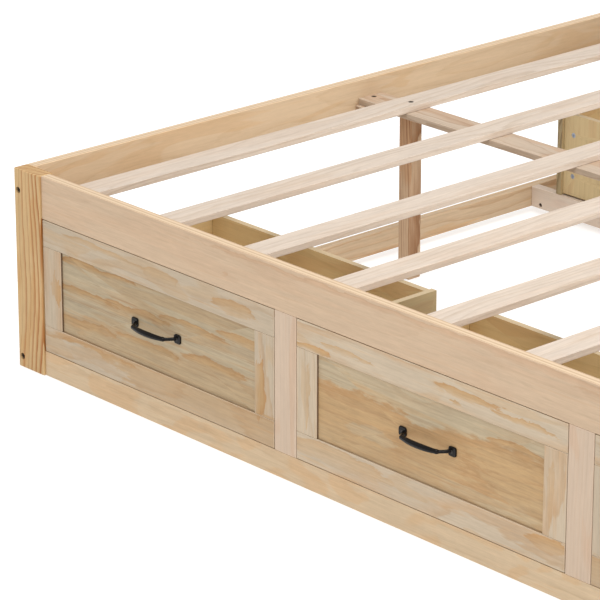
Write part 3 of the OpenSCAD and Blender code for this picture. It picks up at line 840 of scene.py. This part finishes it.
def dress_box(i, name, side):
    """A drawer's sides, back and bottom. The backs' grain lies along X on the left side and stands up on the
    right side."""
    low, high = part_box(f"{name}_box")
    inset = BOX_T + BACK_GAP
    backs = ((low.x + inset, low.z - CLEAR), (high.x - inset, high.z + CLEAR))
    grain, across = ("X", "Z") if side < 0 else ("Z", "X")
    # Painted light: the box boards' faces across X are made lighter
    # Painted shade darkens the box's outside and its back's recess
    # The up-facing sawn edges take a greyer tan, with painted shade in it
    box = wood_material(f"{name}_box", "box", grain, across, second=backs + ("Y", "Z", None), seed=0.11 * i,
                        painted_face_shading=("X", 1.15), shell=(low, high, 0.64, 0.82), top=SAWN_TOP_SHADE,
                        Ring_width=0.014, Wander=0.06, Contrast=0.3, Streaks=0.6, Knots=0.6, End_shade=0.6)
    dress([f"{name}_box"], box, 0)
    bottom = wood_material(f"{name}_bottom", "box", "X", "Y", seed=0.13 * i, Ring_width=0.014, Pith_w=-0.2,
                           Slope=0.02, Wander=0.2, Contrast=0.3, Streaks=0.6)
    dress([f"{name}_bottom"], bottom, 0)


def side_of(name):
    """-1 for a piece on the left side and 1 for one on the right."""
    return -1 if middle(name).y < 0 else 1


def dress_drawers():
    for i, name in enumerate(DRAWERS):
        side = side_of(f"{name}_front")
        dress_front(i, name, side)
        dress_box(i, name, side)


# ---- Handles ----

# Half of the bow's middle line: across from the middle, out from the panel, and the rod's radius there
HALF_BOW = (
    (0.0508, 0.0015, 0.0038), (0.0500, 0.0055, 0.0031), (0.0462, 0.0115, 0.0029), (0.0418, 0.0168, 0.0030),
    (0.0390, 0.0193, 0.0042), (0.0364, 0.0205, 0.0040), (0.0290, 0.0220, 0.0043), (0.0160, 0.0238, 0.0049),
    (0.0, 0.0245, 0.0051),
)
BOW_STEPS = 6
BOW_SIDES = 20
FOOT_HALF = 0.0082
FOOT_THICK = 0.003
FOOT_SQUARENESS = 0.45
FOOT_SPAN = 0.111


def between(p, q, r, s, t):
    """A smooth curve's value a part t of the way from q to r, where p lies before them and s after."""
    bend = 2 * p - 5 * q + 4 * r - s
    twist = 3 * q - p - 3 * r + s
    return 0.5 * (2 * q + (r - p) * t + bend * t ** 2 + twist * t ** 3)


def smooth_curve(points, steps):
    """Points along a smooth curve through the given ones."""
    padded = [points[0]] + list(points) + [points[-1]]
    curve = []
    for before, a, b, after in zip(padded, padded[1:], padded[2:], padded[3:]):
        for step in range(steps):
            t = step / steps
            curve.append(tuple(between(*values, t) for values in zip(before, a, b, after)))
    return curve + [points[-1]]


def ring_loft(mesh, rings):
    """Skins closed rings of points into a closed shell."""
    made = [[mesh.verts.new(p) for p in ring] for ring in rings]
    count = len(made[0])
    for a, b in zip(made, made[1:]):
        for k in range(count):
            mesh.faces.new((a[k], a[(k + 1) % count], b[(k + 1) % count], b[k]))
    mesh.faces.new(list(reversed(made[0])))
    mesh.faces.new(made[-1])


def rod_rings(line, sides):
    """Rings round a line that bends in one plane, square to it and of its own radius at each point."""
    rings = []
    for i, (x, out, radius) in enumerate(line):
        before, after = line[max(i - 1, 0)], line[min(i + 1, len(line) - 1)]
        along = Vector((after[0] - before[0], after[1] - before[1])).normalized()
        rings.append([])
        for k in range(sides):
            turn = 2 * math.pi * k / sides
            across = radius * math.cos(turn)
            rings[-1].append((x - along.y * across, out + along.x * across, radius * math.sin(turn)))
    return rings


def foot_rings(middle_x, sides=40):
    """A rounded square plate with a softly pillowed face."""
    rings = []
    for out, scale in ((0, 1), (0.0018, 1), (0.0024, 0.985), (0.0028, 0.95), (FOOT_THICK, 0.88)):
        rings.append([])
        for k in range(sides):
            turn = 2 * math.pi * k / sides
            c, s = math.cos(turn), math.sin(turn)
            x = math.copysign(abs(c) ** FOOT_SQUARENESS, c) * FOOT_HALF * scale
            z = math.copysign(abs(s) ** FOOT_SQUARENESS, s) * FOOT_HALF * scale
            rings[-1].append((middle_x + x, out, z))
    return rings


def make_handles(material):
    """The handles' cast bows, each on its CAD handle's place and riding with its drawer."""
    other_half = [(-x, out, radius) for x, out, radius in reversed(HALF_BOW[:-1])]
    line = smooth_curve(list(HALF_BOW) + other_half, BOW_STEPS)
    for name in DRAWERS:
        low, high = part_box(f"{name}_handle")
        at = (low + high) / 2
        side = side_of(f"{name}_handle")
        panel_face = high.y if side < 0 else low.y
        shape = bmesh.new()
        ring_loft(shape, rod_rings(line, BOW_SIDES))
        for x in (-FOOT_SPAN / 2, FOOT_SPAN / 2):
            ring_loft(shape, foot_rings(x))
        for vert in shape.verts:
            x, out, z = vert.co
            vert.co = (at.x + x, panel_face + side * out, at.z + z)
        bmesh.ops.recalc_face_normals(shape, faces=shape.faces)
        mesh = bpy.data.meshes.new(f"{name}_bow")
        shape.to_mesh(mesh)
        shape.free()
        for polygon in mesh.polygons:
            polygon.use_smooth = len(polygon.vertices) == 4
        mesh.materials.append(material)
        bow = bpy.data.objects.new(f"{name}_bow", mesh)
        bpy.context.collection.objects.link(bow)
        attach(bow, name)
        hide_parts(f"{name}_handle")


# The handles' screws lie farther than this from the bed's middle, and the cams nearer
SCREWS_FROM_Y = 0.815


def dress_metal():
    """Iron handles, dark steel in the frame, and in the drawers zinc cams behind dark handle screws."""
    dark = linear(62, 58, 56)
    iron = metal_material("black_iron", (0.006, 0.005, 0.0045, 1), 0.17, 0.0, 0.2, specular=0.17)
    sunk = metal_material("sunk_steel", linear(60, 44, 32), 0.5, 0.6, 0.4)
    fittings = metal_material("zinc_and_dark_screws", linear(150, 156, 168), 0.45, 0.8, 0.4,
                              front=(SCREWS_FROM_Y, dark))
    steel = metal_material("dark_steel", linear(66, 56, 46), 0.45, 0.7, 0.4)
    dress(["barrel_nuts"], sunk)
    dress(["corner_bolts", "slat_screws"], steel)
    dress([f"{name}_fittings" for name in DRAWERS], fittings)
    make_handles(iron)


# ---- Floor, light ----

FLOOR_HALF = 60.0
FLOOR_DROP = 0.0005
FLOOR_GLOW = 0.62
WORLD_GLOW = 0.6
# Name, place, aim, size in metres and power in watts
LIGHTS = (
    ("key", (1.5, -5.0, 6.0), (0, 0, 0.2), (5, 4), 150),
    ("top", (1.0, 0.5, 7.0), (0, 0, 0), (6, 6), 340),
    ("end", (5.5, 3.5, 2.5), (0, 0, 0.2), (4, 3), 95),
    ("spark", (1.6, -1.4, 4.5), (-0.3, -0.8, 0.2), (0.5, 0.5), 26),
)


def make_floor():
    """A wide pale floor just under the legs. Its glow keeps it as white as the studio round it."""
    mesh = bpy.data.meshes.new("floor")
    s = FLOOR_HALF
    mesh.from_pydata([(-s, -s, 0), (s, -s, 0), (s, s, 0), (-s, s, 0)], [], [(0, 1, 2, 3)])
    floor = bpy.data.objects.new("floor", mesh)
    floor.location.z = -FLOOR_DROP
    bpy.context.collection.objects.link(floor)
    material = bpy.data.materials.new("floor")
    material.use_nodes = True
    shader = material.node_tree.nodes["Principled BSDF"]
    shader.inputs["Base Color"].default_value = (0.5, 0.5, 0.5, 1)
    shader.inputs["Roughness"].default_value = 0.9
    shader.inputs["Emission Color"].default_value = (1, 1, 1, 1)
    shader.inputs["Emission Strength"].default_value = FLOOR_GLOW
    mesh.materials.append(material)


def area_light(name, place, aim, size, power):
    data = bpy.data.lights.new(name, "AREA")
    data.shape = "RECTANGLE"
    data.size, data.size_y = size
    data.energy = power
    light = bpy.data.objects.new(name, data)
    light.location = place
    light.rotation_euler = (Vector(place) - Vector(aim)).to_track_quat("Z", "Y").to_euler()
    bpy.context.collection.objects.link(light)


def make_light():
    world = bpy.data.worlds.new("studio")
    world.use_nodes = True
    background = world.node_tree.nodes["Background"]
    background.inputs["Color"].default_value = (1, 1, 1, 1)
    background.inputs["Strength"].default_value = WORLD_GLOW
    bpy.context.scene.world = world
    for light in LIGHTS:
        area_light(*light)
    view = bpy.context.scene.view_settings
    view.view_transform = "Standard"
    view.look = "None"


make_camera()
dress_posts()
dress_side_rails()
dress_stiles()
dress_end_rails()
dress_slats_and_beam()
dress_hidden()
dress_drawers()
dress_metal()
make_floor()
make_light()
